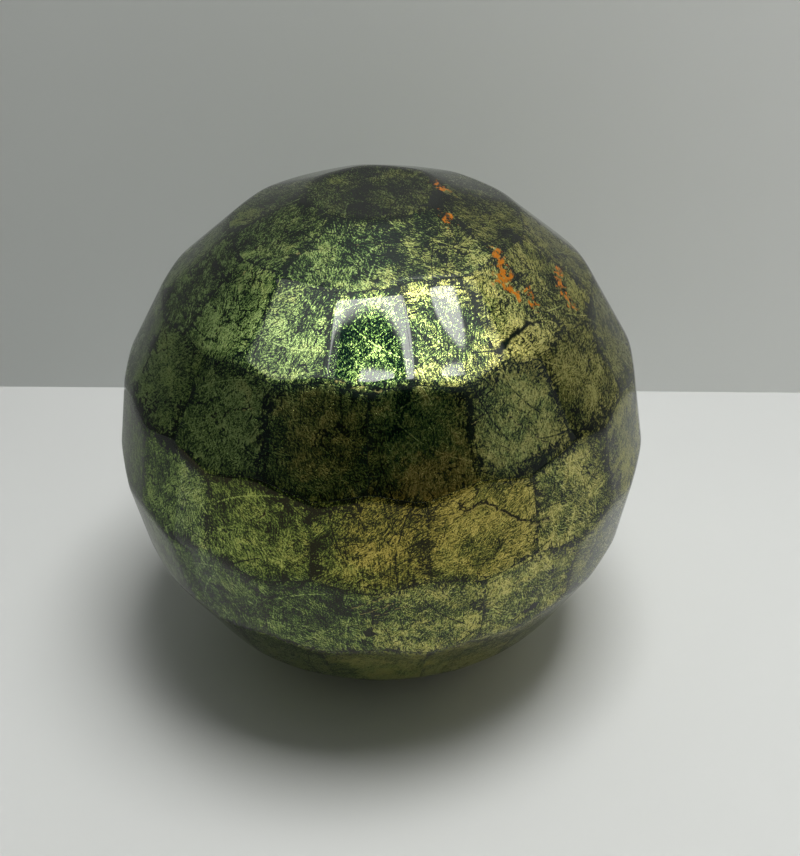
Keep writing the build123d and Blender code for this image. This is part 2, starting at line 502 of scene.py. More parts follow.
def fill(tree, node, **inputs):
    """Sets or links a node's sockets. Base_Color means the one of that name, and v_1 means number 1."""
    for key, value in inputs.items():
        number = key.rpartition("_")[2]
        socket = node.inputs[int(number)] if number.isdigit() else node.inputs[key.replace("_", " ")]
        if isinstance(value, bpy.types.NodeSocket):
            tree.links.new(value, socket)
        else:
            socket.default_value = value


def add(tree, kind, settings=None, **inputs):
    """Adds a node of a kind, with its settings and its sockets as fill takes them."""
    node = tree.nodes.new("ShaderNode" + kind)
    for key, value in (settings or {}).items():
        setattr(node, key, value)
    fill(tree, node, **inputs)
    return node


def maths(tree, operation, *values, clamp=False):
    """One scalar operation on one, two or three values."""
    named = {f"v_{place}": value for place, value in enumerate(values)}
    settings = {"operation": operation, "use_clamp": clamp}
    return add(tree, "Math", settings, **named).outputs[0]


def vectors(tree, operation, *values):
    """One vector operation. Length, distance and dot product come out as a number."""
    named = {f"v_{place}": value for place, value in enumerate(values)}
    node = add(tree, "VectorMath", {"operation": operation}, **named)
    number = operation in ("LENGTH", "DISTANCE", "DOT_PRODUCT")
    return node.outputs["Value"] if number else node.outputs["Vector"]


def rise(tree, value, low, high, to_low=0.0, to_high=1.0):
    """A smooth step: to_low below low, to_high above high."""
    node = add(tree, "MapRange", {"interpolation_type": "SMOOTHSTEP"},
               v_0=value, v_1=low, v_2=high, v_3=to_low, v_4=to_high)
    return node.outputs[0]


def fall(tree, value, low, high):
    """A smooth step down: 1 below low, 0 above high."""
    return rise(tree, value, low, high, 1.0, 0.0)


def blend(tree, share, one, other, how="MIX"):
    """A colour between one and other by share."""
    node = add(tree, "Mix", {"data_type": "RGBA", "blend_type": how},
               v_0=share, v_6=one, v_7=other)
    return node.outputs[2]


def axes_of(tree, vector):
    """The X, Y and Z of a vector, by name."""
    return add(tree, "SeparateXYZ", Vector=vector).outputs


def object_place(tree):
    """Where a point lies on its object, which is also its place in the scene, in metres."""
    return add(tree, "TexCoord").outputs["Object"]


def noise(tree, where, scale, detail=2.0, rough=0.5, dimensions="3D"):
    """Smooth noise about 0.5."""
    node = add(tree, "TexNoise", {"noise_dimensions": dimensions},
               Vector=where, Scale=scale, Detail=detail, Roughness=rough)
    return node.outputs[0]


def new_material(name):
    """A material with its node tree and its shader."""
    material = bpy.data.materials.new(name)
    material.use_nodes = True
    return material, material.node_tree, material.node_tree.nodes["Principled BSDF"]


def new_group(name, gives, takes):
    """A node group. gives names its number outputs, and takes says what each input starts as."""
    tree = bpy.data.node_groups.new(name, "ShaderNodeTree")
    for label, start in takes.items():
        kind = "NodeSocketVector" if isinstance(start, tuple) else "NodeSocketFloat"
        socket = tree.interface.new_socket(label, in_out="INPUT", socket_type=kind)
        socket.default_value = start
    for label in gives:
        tree.interface.new_socket(label, in_out="OUTPUT", socket_type="NodeSocketFloat")
    entry = tree.nodes.new("NodeGroupInput")
    leave = tree.nodes.new("NodeGroupOutput")
    return tree, entry.outputs, leave


def use_group(tree, group, **inputs):
    """Places a group in a tree and gives its outputs."""
    return add(tree, "Group", {"node_tree": group}, **inputs).outputs


helpers = (fill, add, maths, vectors, rise, fall, blend, axes_of, object_place, noise)
print("node helpers:", ", ".join(helper.__name__ for helper in helpers))

# %% [markdown]
# ## Fibres in the leaf
# Beaten metal leaf is picked up and pressed down in scraps, and each scrap shows fine creases that
# run one way. Voronoi cells stand for the scraps: every cell turns its own coordinates by a random
# angle, and noise stretched along one of the turned axes draws the creases.

# %% The fibres group
fibres, take, give = new_group("leaf_fibres", ["Value", "Scrap"], {
    "Place": (0, 0, 0), "Turn": 0.0, "Scrap Size": 5.0, "Length": 2.4, "Width": 0.3})
drift = add(fibres, "TexNoise", Vector=take["Place"], Scale=0.35, Detail=2.0)
drift = vectors(fibres, "SUBTRACT", drift.outputs["Color"], (0.5, 0.5, 0.5))
drift = vectors(fibres, "MULTIPLY", drift, (5.0, 5.0, 0.0))
bent = vectors(fibres, "ADD", take["Place"], drift)
cell_scale = maths(fibres, "DIVIDE", 1.0, take["Scrap Size"])
cells = add(fibres, "TexVoronoi", Vector=bent, Scale=cell_scale)
inside = vectors(fibres, "SUBTRACT", take["Place"], cells.outputs["Position"])
random = axes_of(fibres, cells.outputs["Color"])
angle = maths(fibres, "ADD", maths(fibres, "MULTIPLY_ADD", random["X"], 1.5, -0.75), take["Turn"])
turned = add(fibres, "VectorRotate", {"rotation_type": "Z_AXIS"}, Vector=inside, Angle=angle)
stretch = add(fibres, "CombineXYZ", X=maths(fibres, "DIVIDE", 1.0, take["Length"]),
              Y=maths(fibres, "DIVIDE", 1.0, take["Width"]), Z=1.0)
thread = vectors(fibres, "MULTIPLY", turned.outputs[0], stretch.outputs[0])
thread = vectors(fibres, "ADD", thread, cells.outputs["Color"])
value = noise(fibres, thread, 1.0, detail=3.0, rough=0.65)
fill(fibres, give, Value=rise(fibres, value, 0.32, 0.68), Scrap=random["Y"])
print("nodes in the fibres group:", len(fibres.nodes))

# %% [markdown]
# ## Scratches
# The leaf is scored with short straight lines, some open down to the dark lacquer, some catching
# the light. Each voronoi cell holds one line through its middle at its own angle, and a number of
# the cell's own decides whether the line is light, dark or missing.

# %% The scratches group
scratches, take, give = new_group("leaf_scratches", ["Light", "Dark"], {
    "Place": (0, 0, 0), "Spacing": 5.0, "Width": 0.15})
cell_scale = maths(scratches, "DIVIDE", 1.0, take["Spacing"])
cells = add(scratches, "TexVoronoi", Vector=take["Place"], Scale=cell_scale)
random = axes_of(scratches, cells.outputs["Color"])
inside = vectors(scratches, "SUBTRACT", take["Place"], cells.outputs["Position"])
angle = maths(scratches, "MULTIPLY", random["X"], math.pi)
turned = add(scratches, "VectorRotate", {"rotation_type": "Z_AXIS"}, Vector=inside, Angle=angle)
axes = axes_of(scratches, turned.outputs[0])
bow = maths(scratches, "MULTIPLY", maths(scratches, "MULTIPLY", axes["X"], axes["X"]), 0.02)
across = maths(scratches, "ABSOLUTE", maths(scratches, "SUBTRACT", axes["Y"], bow))
line = fall(scratches, maths(scratches, "DIVIDE", across, take["Width"]), 0.4, 1.0)
light_cell = rise(scratches, random["Y"], 0.62, 0.66)
dark_cell = fall(scratches, random["Y"], 0.44, 0.48)
fill(scratches, give, Light=maths(scratches, "MULTIPLY", line, light_cell),
     Dark=maths(scratches, "MULTIPLY", line, dark_cell))
print("nodes in the scratches group:", len(scratches.nodes))

# %% [markdown]
# ## Feathered edges
# Leaf tears into a comb where it ends: short dark teeth that reach in from the seam. The group
# takes the distance from the seam and the place along it. Noise that changes fast along the seam
# and slowly away from it makes the teeth, and slower noise varies how far they reach.

# %% The feathered edge group
feather, take, give = new_group("feathered_edge", ["Mask"], {
    "Gap": 1.0, "Along": 0.0, "Seed": 0.0, "Reach": 1.5, "Tooth": 0.4})
fast = maths(feather, "DIVIDE", take["Along"], take["Tooth"])
slow = maths(feather, "MULTIPLY", take["Gap"], 0.45)
comb_place = add(feather, "CombineXYZ", X=fast, Y=slow, Z=take["Seed"]).outputs[0]
teeth = rise(feather, noise(feather, comb_place, 1.0, detail=1.5), 0.36, 0.66, 0.08, 1.0)
calm_place = add(feather, "CombineXYZ", X=maths(feather, "MULTIPLY", take["Along"], 0.22),
                 Y=0.0, Z=take["Seed"]).outputs[0]
calm = rise(feather, noise(feather, calm_place, 1.0, detail=2.0), 0.44, 0.64, 0.0, 1.3)
reach = maths(feather, "MULTIPLY", maths(feather, "MULTIPLY", teeth, calm), take["Reach"])
share = maths(feather, "DIVIDE", take["Gap"], maths(feather, "ADD", reach, 0.02))
fill(feather, give, Mask=fall(feather, share, 0.5, 1.0))
print("nodes in the feathered edge group:", len(feather.nodes))

# %% [markdown]
# ## Single marks
# A few long cracks, pits and worn spots are placed one by one. A stroke is the distance from a point
# to a line between two ends, and a spot is the distance to a point. Both read a place that noise
# has bent, so that they wander as real cracks and tears do.

# %% The stroke and spot groups
stroke, take, give = new_group("crack_stroke", ["Mask"], {
    "Place": (0, 0, 0), "Start": (0, 0, 0), "End": (1, 0, 0), "Width": 0.3})
run = vectors(stroke, "SUBTRACT", take["End"], take["Start"])
step_in = vectors(stroke, "SUBTRACT", take["Place"], take["Start"])
share = maths(stroke, "DIVIDE", vectors(stroke, "DOT_PRODUCT", step_in, run),
              vectors(stroke, "DOT_PRODUCT", run, run), clamp=True)
scaled = add(stroke, "VectorMath", {"operation": "SCALE"}, v_0=run, Scale=share).outputs[0]
off = vectors(stroke, "DISTANCE", step_in, scaled)
ratio = maths(stroke, "DIVIDE", off, take["Width"])
fill(stroke, give, Mask=fall(stroke, ratio, 0.35, 1.0))


def spot_group(name, full, clear):
    """A round mark: 1 up to full times the size from its middle, and 0 from clear times the size."""
    tree, take, give = new_group(name, ["Mask"], {
        "Place": (0, 0, 0), "Middle": (0, 0, 0), "Size": 1.0})
    off = vectors(tree, "DISTANCE", take["Place"], take["Middle"])
    ratio = maths(tree, "DIVIDE", off, take["Size"])
    fill(tree, give, Mask=fall(tree, ratio, full, clear))
    return tree


spot = spot_group("worn_spot", 0.8, 1.05)
# The soft spot lays painted shade and painted light on single facets.
painted_shade_spot = spot_group("painted_shade_spot", 0.6, 1.25)
print("groups:", sorted(g.name for g in bpy.data.node_groups))

# %% [markdown]
# ## Where the marks are
# Latitude and longitude are in degrees, from the front (0) to the right, and widths are in mm.
# Cracks, worn spots and seams are runs of points. Pits and painted shade tints are single points with a
# size.

# %% Marks
CRACKS = [  # each a width and the points that it runs through
    (0.26, [(53, -53), (60, -47), (65, -34), (68, -20), (70, -3), (70, 16)]),
    (0.42, [(15, 19), (16.4, 22.4), (13, 26.7), (10.4, 29.7), (8.4, 33), (7.7, 37)]),
    (0.22, [(30, 31.6), (27, 35.5), (24, 38), (21.3, 41.3)]),
    (0.20, [(25.3, 28.7), (21.2, 36.6)]),
    (0.22, [(31.2, 22.5), (32.3, 27.2)]),
    (0.24, [(28.2, -39), (33.3, -27)]),
    (0.24, [(11.9, -22), (15, -20.4)]),
    (0.28, [(-4.6, -3.6), (-1.3, 2.7)]),
    (0.28, [(-6.1, -2.2), (-3, 5.5)]),
    (0.24, [(-6.7, 0.7), (-4.3, 7.8)]),
    (0.35, [(41, -8), (40, -3.7), (39.5, 3)]),
    (0.8, [(42.6, 34.5), (43.8, 39), (44.6, 43.5)]),
    (0.5, [(44.6, 43.5), (44.8, 48), (43.6, 52)]),
]
PITS = [(52.3, 48.6, 0.55), (-15.3, 35.5, 1.1), (-15.8, 33.8, 0.7), (-12.5, -0.7, 1.1)]
WORN = [  # bare ground where the leaf has flaked away
    (1.3, [(60, 57), (57, 52)]), (1.8, [(56, 52), (54.5, 48)]), (1.2, [(53, 50), (51, 50)]),
    (1.0, [(50, 56), (47.5, 54)]), (1.1, [(48, 76), (45.5, 68.5), (40.5, 67)]),
    (1.1, [(73, 57), (70.5, 53)]), (0.8, [(77, 110), (75.5, 92)]),
]
PAINTED_SHADE_TINTS = [  # painted shade and light on single facets: latitude, longitude, size in mm, darker by (below 0 lighter), warmer by
    (48.3, 1.0, 7.5, 0.36, -1.0), (31.5, 10.0, 6.5, 0.16, -0.7), (20.5, 13.0, 6.0, -0.05, 0.9),
    (12.0, 4.0, 9.0, 0.0, 0.5), (-6.5, -12.0, 9.0, 0.20, -0.2), (-6.0, 12.0, 8.0, 0.06, 0.0),
    (66.0, -14.0, 8.0, -0.08, -0.2), (66.0, 30.0, 7.0, 0.07, 0.2), (70.0, 60.0, 9.0, 0.10, 0.0),
    (30.0, -12.0, 8.0, 0.03, 0.4), (28.5, -34.0, 8.0, -0.20, -0.3), (28.0, 34.0, 9.0, -0.08, -0.3),
    (47.0, -21.0, 7.0, 0.07, -0.4), (48.5, 22.5, 7.0, 0.32, -0.5), (46.0, -44.0, 8.0, -0.12, -0.2),
    (41.0, 43.0, 4.5, -0.12, 0.5), (45.0, 68.0, 7.0, 0.20, -0.2),
    (46.0, 46.0, 7.0, 0.14, -0.2), (-9.0, -34.0, 8.5, 0.16, 0.0), (-29.0, 5.0, 10.0, -0.14, 0.0),
]
SEAMS = [  # where a seam shows as a soft dark band: width, then the points along it
    (1.6, [(20.5, -62), (20, -50), (19, -36)]), (1.5, [(20, 31), (21.5, 44), (20.5, 60)]),
    (1.0, [(36, -23), (28, -23), (19, -22)]), (0.9, [(38, 21), (31, 22.3), (23, 22)]),
    (0.9, [(19, -22), (16.5, -14), (16.5, -7), (18, -1)]), (0.7, [(-1, -40), (0.5, -28)]),
    (0.8, [(28, -47), (20, -46)]), (0.7, [(9, -33), (1, -34)]), (0.8, [(37, 46), (27, 45)]),
    (0.8, [(57, -44), (50, -46), (42, -45)]), (0.7, [(60, 25), (58, 38)]),
    (0.7, [(0, 30), (-2, 44)]),
]


def on_ball(latitude, longitude):
    """The point at a latitude and longitude in degrees, in mm from the ball's centre."""
    return tuple((facing(np.radians(latitude), np.radians(longitude)) * ball_radius).tolist())


print("cracks:", len(CRACKS), "worn spots:", len(WORN), "seams:", len(SEAMS), "tints:", len(PAINTED_SHADE_TINTS))

# %% [markdown]
# ## The leaf's colours
# Where leaf is thin, the dark green lacquer below shows through it, and where it lies double it is
# bright. So its colour is looked up by how brightly it lies, along one ramp for leaf that leans to
# green and one for leaf that leans to gold. That number also carries painted shade and painted
# light, which the ramps turn into colour as well.

# %% Leaf colours
GREEN_LEAF = [  # from bare lacquer to doubled leaf
    (0.00, (0.003, 0.010, 0.007, 1)),
    (0.26, (0.012, 0.042, 0.018, 1)),
    (0.50, (0.098, 0.178, 0.045, 1)),
    (0.76, (0.28, 0.42, 0.115, 1)),
    (1.00, (0.50, 0.68, 0.25, 1)),
]
GOLD_LEAF = [
    (0.00, (0.005, 0.010, 0.007, 1)),
    (0.26, (0.034, 0.050, 0.018, 1)),
    (0.50, (0.225, 0.225, 0.055, 1)),
    (0.76, (0.50, 0.47, 0.125, 1)),
    (1.00, (0.78, 0.73, 0.26, 1)),
]
CRACK = (0.004, 0.010, 0.006, 1)
# A painted highlight: the bright lip of lifted leaf beside a crack.
CRACK_LIP_HIGHLIGHT = (0.5, 0.46, 0.17, 1)
ORANGE = (0.38, 0.115, 0.002, 1)


def ramp(tree, value, stops):
    """A colour looked up along a run of stops, each a position and a colour."""
    node = add(tree, "ValToRGB", Fac=value)
    steps = node.color_ramp.elements
    for place, (position, colour) in enumerate(stops):
        step = steps[place] if place < len(steps) else steps.new(position)
        step.position = position
        step.color = colour
    return node.outputs[0]


def weighted(tree, start, pairs):
    """start plus each value's distance from one half, times its weight."""
    total = start
    for value, weight in pairs:
        centred = maths(tree, "MULTIPLY_ADD", value, weight, -weight / 2)
        total = maths(tree, "ADD", total, centred)
    return total


def strongest(tree, masks):
    """The largest of several masks."""
    result = masks[0]
    for mask in masks[1:]:
        result = maths(tree, "MAXIMUM", result, mask)
    return result


print("colour steps:", len(GREEN_LEAF), "green and", len(GOLD_LEAF), "gold")

# %% [markdown]
# ## Where the leaf's pattern is read
# Marks that belong to the whole ball, such as cracks, read the place on a ball as large as the
# facets reach. The grain of the leaf reads the place on its own square, with the square's number
# as a third axis, so that every square shows another part of the same pattern.

# %% Places on the ball and on a square
LAYER_STEP = 200.0  # how far apart the squares' patterns lie along the third axis
CRACK_BEND = 2.0  # how far noise bends the cracks, in mm
TEAR_BEND = 6.5  # and how far it bends torn edges


def leaf_places(tree):
    """The places, gaps and numbers that the leaf's finish reads, by name."""
    where = object_place(tree)
    outward = vectors(tree, "NORMALIZE", vectors(tree, "SUBTRACT", where, tuple(centre * MM)))
    ball = vectors(tree, "MULTIPLY", outward, (ball_radius, ball_radius, ball_radius))
    square = add(tree, "UVMap", {"uv_map": "place"}).outputs[0]
    at = {
        "away": axes_of(tree, outward),
        "square": axes_of(tree, square),
    }
    for key in ("square_seed", "side_gap", "course_gap"):
        at[key] = add(tree, "Attribute", {"attribute_name": key}).outputs["Fac"]
    at["layer"] = maths(tree, "MULTIPLY", at["square_seed"], LAYER_STEP)
    at["grain"] = add(tree, "CombineXYZ", X=at["square"]["X"], Y=at["square"]["Y"],
                      Z=at["layer"]).outputs[0]
    bend = add(tree, "TexNoise", Vector=ball, Scale=0.8, Detail=4.0).outputs["Color"]
    bend = vectors(tree, "SUBTRACT", bend, (0.5, 0.5, 0.5))
    for key, reach in (("bent", CRACK_BEND), ("torn", TEAR_BEND)):
        at[key] = vectors(tree, "ADD", ball, vectors(tree, "MULTIPLY", bend, (reach, reach, reach)))
    return at


def near_row(row, latitude, margin=14):
    """Whether a latitude in degrees is near enough to a row's middle for a mark to touch the row."""
    return abs(latitude - math.degrees(middle_latitude(row))) < margin


def marks(tree, row, strokes, place, widen=1.0):
    """The masks of all strokes near a row."""
    return [use_group(tree, stroke, Place=place, Start=on_ball(*start), End=on_ball(*end),
                      Width=width * widen)["Mask"]
            for width, points in strokes for start, end in zip(points, points[1:])
            if near_row(row, (start[0] + end[0]) / 2)]


print("cracks near row 4:", sum(near_row(3, points[0][0]) for width, points in CRACKS))

# %% [markdown]
# ## How brightly the leaf lies
# One number between 0 and 1 carries nearly the whole look. It starts at one half. The patterns add
# to it or take from it by weights: long and short fibres, a fine grain, blotches, slow mottling and
# scratches. The feathered edges and the creases, which are the contour lines of a slow noise, take
# from it. Leaf near the top is crumpled, so its differences are stretched there. The stretch also
# paints in the sparkle of the overhead panel on the upper rows. Painted shade darkens the top,
# painted light from the table brightens the bottom, and the number grows a little to the right.

# %% The pattern of the leaf
PATTERN_WEIGHTS = {
    "fine": 0.62, "threads": 0.32, "grain": 0.48, "blotch": 0.28, "mottle": 0.36, "scrap": 0.14}
SCRATCH_KINDS = [  # spacing and width in mm, and how much a light one adds
    (9.0, 0.17, 0.34), (3.4, 0.13, 0.22)]
DARK_SHARE = 1.1  # how much a dark scratch takes away, of what a light one adds
# The Z leans are painted shade on the top and painted light on the bottom. The X lean is a little darker
# on the left and lighter on the right.
LEANS = [  # along X or Z, from and to where on a ball of radius 1, and what is added at both ends
    ("Z", 0.80, 1.0, 0.0, -0.34), ("Z", -0.7, -0.3, 0.34, 0.0), ("X", -0.6, 0.7, -0.03, 0.03)]
EDGE_DARKER = -0.40
NEAR_EDGE_DARKER = -0.11
CREASE_DARKER = -0.6
SEAM_DARKER = -0.6
CREASE_WIDTH = 0.012


def leaf_pattern(tree, at):
    """The patterns that the brightness, the hue and the bump are mixed from, by name."""
    place = at["grain"]
    turn = maths(tree, "MULTIPLY_ADD", at["square_seed"], 2.2, 0.5)
    threads = use_group(tree, fibres, Place=place, Turn=turn, Scrap_Size=6.0, Length=3.2, Width=0.30)
    fine = use_group(tree, fibres, Place=place, Turn=turn, Scrap_Size=2.6, Length=0.8, Width=0.18)
    side_mask = use_group(tree, feather, Gap=at["side_gap"], Along=at["square"]["Y"],
                          Seed=at["layer"], Reach=3.0)["Mask"]
    course_mask = use_group(tree, feather, Gap=at["course_gap"], Along=at["square"]["X"],
                            Seed=maths(tree, "ADD", at["layer"], 31.0), Reach=1.9)["Mask"]
    return {
        "threads": threads["Value"],
        "scrap": threads["Scrap"],
        "fine": fine["Value"],
        "grain": rise(tree, noise(tree, place, 3.8, detail=2.0, rough=0.6), 0.3, 0.7),
        "blotch": rise(tree, noise(tree, place, 0.6, detail=4.0, rough=0.65), 0.3, 0.7),
        "mottle": rise(tree, noise(tree, place, 0.16, detail=3.0, rough=0.55), 0.3, 0.7),
        "edge": strongest(tree, [side_mask, course_mask]),
    }


def leaf_shine(tree, at, pattern):
    """How brightly the leaf lies before the marks that belong to one place on the ball, painted shade
    and light included.
    """
    place = at["grain"]
    pairs = [(pattern[key], weight) for key, weight in PATTERN_WEIGHTS.items()]
    shine = weighted(tree, 0.5, pairs + [(at["square_seed"], 0.10)])
    for spacing, width, weight in SCRATCH_KINDS:
        lines = use_group(tree, scratches, Place=place, Spacing=spacing, Width=width)
        shine = maths(tree, "MULTIPLY_ADD", lines["Light"], weight, shine)
        shine = maths(tree, "MULTIPLY_ADD", lines["Dark"], -DARK_SHARE * weight, shine)
    border = maths(tree, "MINIMUM", at["side_gap"], at["course_gap"])
    shade = rise(tree, noise(tree, place, 0.2, detail=2.0), 0.4, 0.65)
    near = maths(tree, "MULTIPLY", fall(tree, border, 0.0, 3.0), shade)
    contour = maths(tree, "SUBTRACT", noise(tree, place, 0.13, detail=4.0), 0.5)
    contour = fall(tree, maths(tree, "ABSOLUTE", contour), 0.0, CREASE_WIDTH)
    broken = rise(tree, noise(tree, place, 0.25, detail=1.0), 0.46, 0.54)
    crease = maths(tree, "MULTIPLY", contour, broken)
    for mask, darker in ((near, NEAR_EDGE_DARKER), (pattern["edge"], EDGE_DARKER),
                         (crease, CREASE_DARKER)):
        shine = maths(tree, "MULTIPLY_ADD", mask, darker, shine)
    # The stretch near the top stands for crumpled leaf and also paints in the sparkle of the overhead
    # panel.
    crumple_and_sparkle = rise(tree, at["away"]["Z"], 0.5, 0.75, 1.18, 1.6)
    shine = maths(tree, "MULTIPLY_ADD", maths(tree, "SUBTRACT", shine, 0.5), crumple_and_sparkle, 0.5)
    for axis, start, end, low, high in LEANS:
        shine = maths(tree, "ADD", shine, rise(tree, at["away"][axis], start, end, low, high))
    return shine


print("an edge makes the leaf darker by", -EDGE_DARKER, "and a crease or seam by", -CREASE_DARKER)

# %% [markdown]
# ## The leaf finish
# Real leaf is metal seen through a clear coat, so the shader is a rough metal under a smooth coat.
# Cracks show the dark lacquer with a bright lip of lifted leaf above them, and worn spots show the
# orange ground, bare of metal and coat. The lip lies the same way up on every crack, so it is partly
# a painted highlight. Only the metal has bump: the coat above it stays smooth.

# %% Leaf finish
METAL_BUMP = 0.00004  # metres from the lowest to the highest leaf
EDGE_METAL = 0.80  # how metallic the leaf is at its feathered edges
DARK_ROUGH = 0.36
BRIGHT_ROUGH = 0.26
LIP_HIGHLIGHT_RISE = (0.0, 0.0, 0.32)  # mm from a crack up to its lip, a painted highlight


def leaf_finish(name, row):
    """The leaf and coat of one row, with the marks that are near it."""
    material, tree, shader = new_material(name)
    at = leaf_places(tree)
    pattern = leaf_pattern(tree, at)
    shine = leaf_shine(tree, at, pattern)
    seams = marks(tree, row, SEAMS, at["torn"])
    if seams:
        shine = maths(tree, "MULTIPLY_ADD", strongest(tree, seams), SEAM_DARKER, shine)
    hue = weighted(tree, at["away"]["X"], [(pattern["mottle"], 0.5), (at["square_seed"], 0.45),
                                           (pattern["blotch"], 0.5), (pattern["scrap"], 0.35)])
    # Painted shade and painted light on single facets, where their reflections are darker or lighter,
    # with a shift of hue.
    for latitude, longitude, size, darker, warmer in PAINTED_SHADE_TINTS:
        if near_row(row, latitude, 20):
            middle = on_ball(latitude, longitude)
            part = use_group(tree, painted_shade_spot, Place=at["torn"], Middle=middle, Size=size)["Mask"]
            shine = maths(tree, "MULTIPLY_ADD", part, -darker, shine)
            hue = maths(tree, "MULTIPLY_ADD", part, warmer, hue)
    warm = rise(tree, hue, -0.6, 1.1)
    tone = blend(tree, warm, ramp(tree, shine, GREEN_LEAF), ramp(tree, shine, GOLD_LEAF))

    cracks = marks(tree, row, CRACKS, at["bent"])
    pits = [use_group(tree, spot, Place=at["bent"], Middle=on_ball(*middle), Size=size)["Mask"]
            for *middle, size in PITS if near_row(row, middle[0])]
    if cracks + pits:
        # The lips are a painted highlight. The bright band lies the same way up beside every crack and
        # pit.
        lips = marks(tree, row, CRACKS, vectors(tree, "ADD", at["bent"], LIP_HIGHLIGHT_RISE), 0.8)
        lip_highlight_share = maths(tree, "MULTIPLY", strongest(tree, lips or pits), 0.7)
        tone = blend(tree, lip_highlight_share, tone, CRACK_LIP_HIGHLIGHT)
        tone = blend(tree, strongest(tree, cracks + pits), tone, CRACK)
    metal = rise(tree, pattern["edge"], 0.0, 1.0, 1.0, EDGE_METAL)
    coat = 1.0
    worn = marks(tree, row, WORN, at["torn"])
    if worn:
        bare = maths(tree, "MULTIPLY", strongest(tree, worn), rise(tree, pattern["blotch"], 0.2, 0.4))
        tone = blend(tree, bare, tone, ORANGE)
        metal = maths(tree, "MULTIPLY", metal, maths(tree, "SUBTRACT", 1.0, bare))
        coat = maths(tree, "MULTIPLY_ADD", bare, -0.85, 1.0)
    heights = (("grain", 0.5), ("threads", 0.4), ("fine", 0.4))
    height = weighted(tree, 0.5, [(pattern[key], weight) for key, weight in heights])
    bump = add(tree, "Bump", Strength=0.6, Distance=METAL_BUMP, Height=height).outputs[0]
    rough = rise(tree, shine, 0.2, 0.8, DARK_ROUGH, BRIGHT_ROUGH)
    fill(tree, shader, Base_Color=tone, Metallic=metal, Roughness=rough, Normal=bump, Coat_Weight=coat,
         Coat_Roughness=0.035, Coat_IOR=1.42, Specular_Tint=(0.25, 0.28, 0.10, 1))
    return material


rows_from_top = [*range(ROW_COUNT), TOP_CAP, BOTTOM_CAP]
for piece, row in zip(leaf_pieces, rows_from_top):
    piece.data.materials.append(leaf_finish(f"leaf_finish_{piece.name}", row))
print("leaf finishes:", len(leaf_pieces))

# %% [markdown]
# ## The tile bodies
# Between the squares of leaf the tiles show only as thin dark lines. The dark green lacquer has run
# down into those gaps, so a mottled dark body is enough.

# %% Tile finish
ground, tree, shader = new_material("tile_finish")
uneven = noise(tree, object_place(tree), 900.0, detail=4.0)
tone = blend(tree, uneven, (0.02, 0.03, 0.015, 1), (0.06, 0.05, 0.02, 1))
fill(tree, shader, Base_Color=tone)
for piece in tile_pieces:
    piece.data.materials.append(ground)
print("tile pieces finished:", len(tile_pieces))

# %% [markdown]
# ## Inside the ball
# The core and the adhesive between it and the tiles are the CAD's own solids. They don't show in
# the whole ball, but they get their own finishes: a pale moulded shell with a faint speckle, and a
# grainy grey-green adhesive.

# %% Core and adhesive finishes


def plain_body(name, light, dark, scale, rough, bump_depth):
    """A body colour mottled between light and dark, with a fine bump of a depth in metres."""
    material, tree, shader = new_material(name)
    where = object_place(tree)
    spread = rise(tree, noise(tree, where, scale, detail=5.0, rough=0.6), 0.35, 0.65)
    fine = noise(tree, where, scale * 6, detail=2.0)
    bump = add(tree, "Bump", Strength=0.4, Distance=bump_depth, Height=fine).outputs[0]
    fill(tree, shader, Base_Color=blend(tree, spread, light, dark), Roughness=rough, Normal=bump)
    return material


core_finish = plain_body("core_plastic", (0.62, 0.60, 0.54, 1), (0.52, 0.50, 0.44, 1),
                         180.0, 0.55, 0.00005)
bed_finish = plain_body("adhesive_bed", (0.10, 0.11, 0.08, 1), (0.05, 0.055, 0.04, 1),
                        320.0, 0.8, 0.0001)
for node, finish in (("core_upper_shell", core_finish), ("core_lower_shell", core_finish),
                     ("adhesive_bed_upper", bed_finish), ("adhesive_bed_lower", bed_finish)):
    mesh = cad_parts[node].data
    mesh.materials.clear()
    mesh.materials.append(finish)
print("dressed CAD nodes: 4")

# %% [markdown]
# ## Camera
# The ball is looked at from a short way off and from above, so the nearer facets are larger.

# %% Camera
VIEW_AZIMUTH = math.radians(2.9)
VIEW_ELEVATION = math.radians(33.5)
VIEW_DISTANCE = 5 * ball_radius * MM
VIEW_ROLL = math.radians(1.65)
camera_data = bpy.data.cameras.new("camera")
camera_data.sensor_width = 36
camera_data.lens = 52.95
camera_data.shift_x = 0.0222
camera_data.shift_y = -0.0076
camera_data.clip_start = 0.01
camera = bpy.data.objects.new("camera", camera_data)
bpy.context.scene.collection.objects.link(camera)
away = Vector(facing(np.array(VIEW_ELEVATION), np.array(VIEW_AZIMUTH)))
camera.location = Vector(centre * MM) + away * VIEW_DISTANCE
camera.rotation_mode = "QUATERNION"
camera.rotation_quaternion = (-away).to_track_quat("-Z", "Y") @ Quaternion((0, 0, 1), -VIEW_ROLL)
bpy.context.scene.camera = camera
print("camera", round(VIEW_DISTANCE / MM), "mm from the ball's centre")

# %% [markdown]
# ## The stage
# A pale table and a plain wall close behind the ball. The wall lets light and sight through from
# its back, so the ball can also be looked at from behind. Both are a little darker to light and
# reflections than to the camera, which keeps the coat from veiling the leaf.

# %% Table and wall
DIMMED = 0.78  # the share of the table's and the wall's tone that reflections see
STAGE_REACH = 3
WALL_HEIGHT = 2
WALL_Y = 0.0901
WALL_SLOPE = -0.018


def level(left, near, right, far, z):
    """The corners of a level rectangle, in metres."""
    return [(left, near, z), (right, near, z), (right, far, z), (left, far, z)]


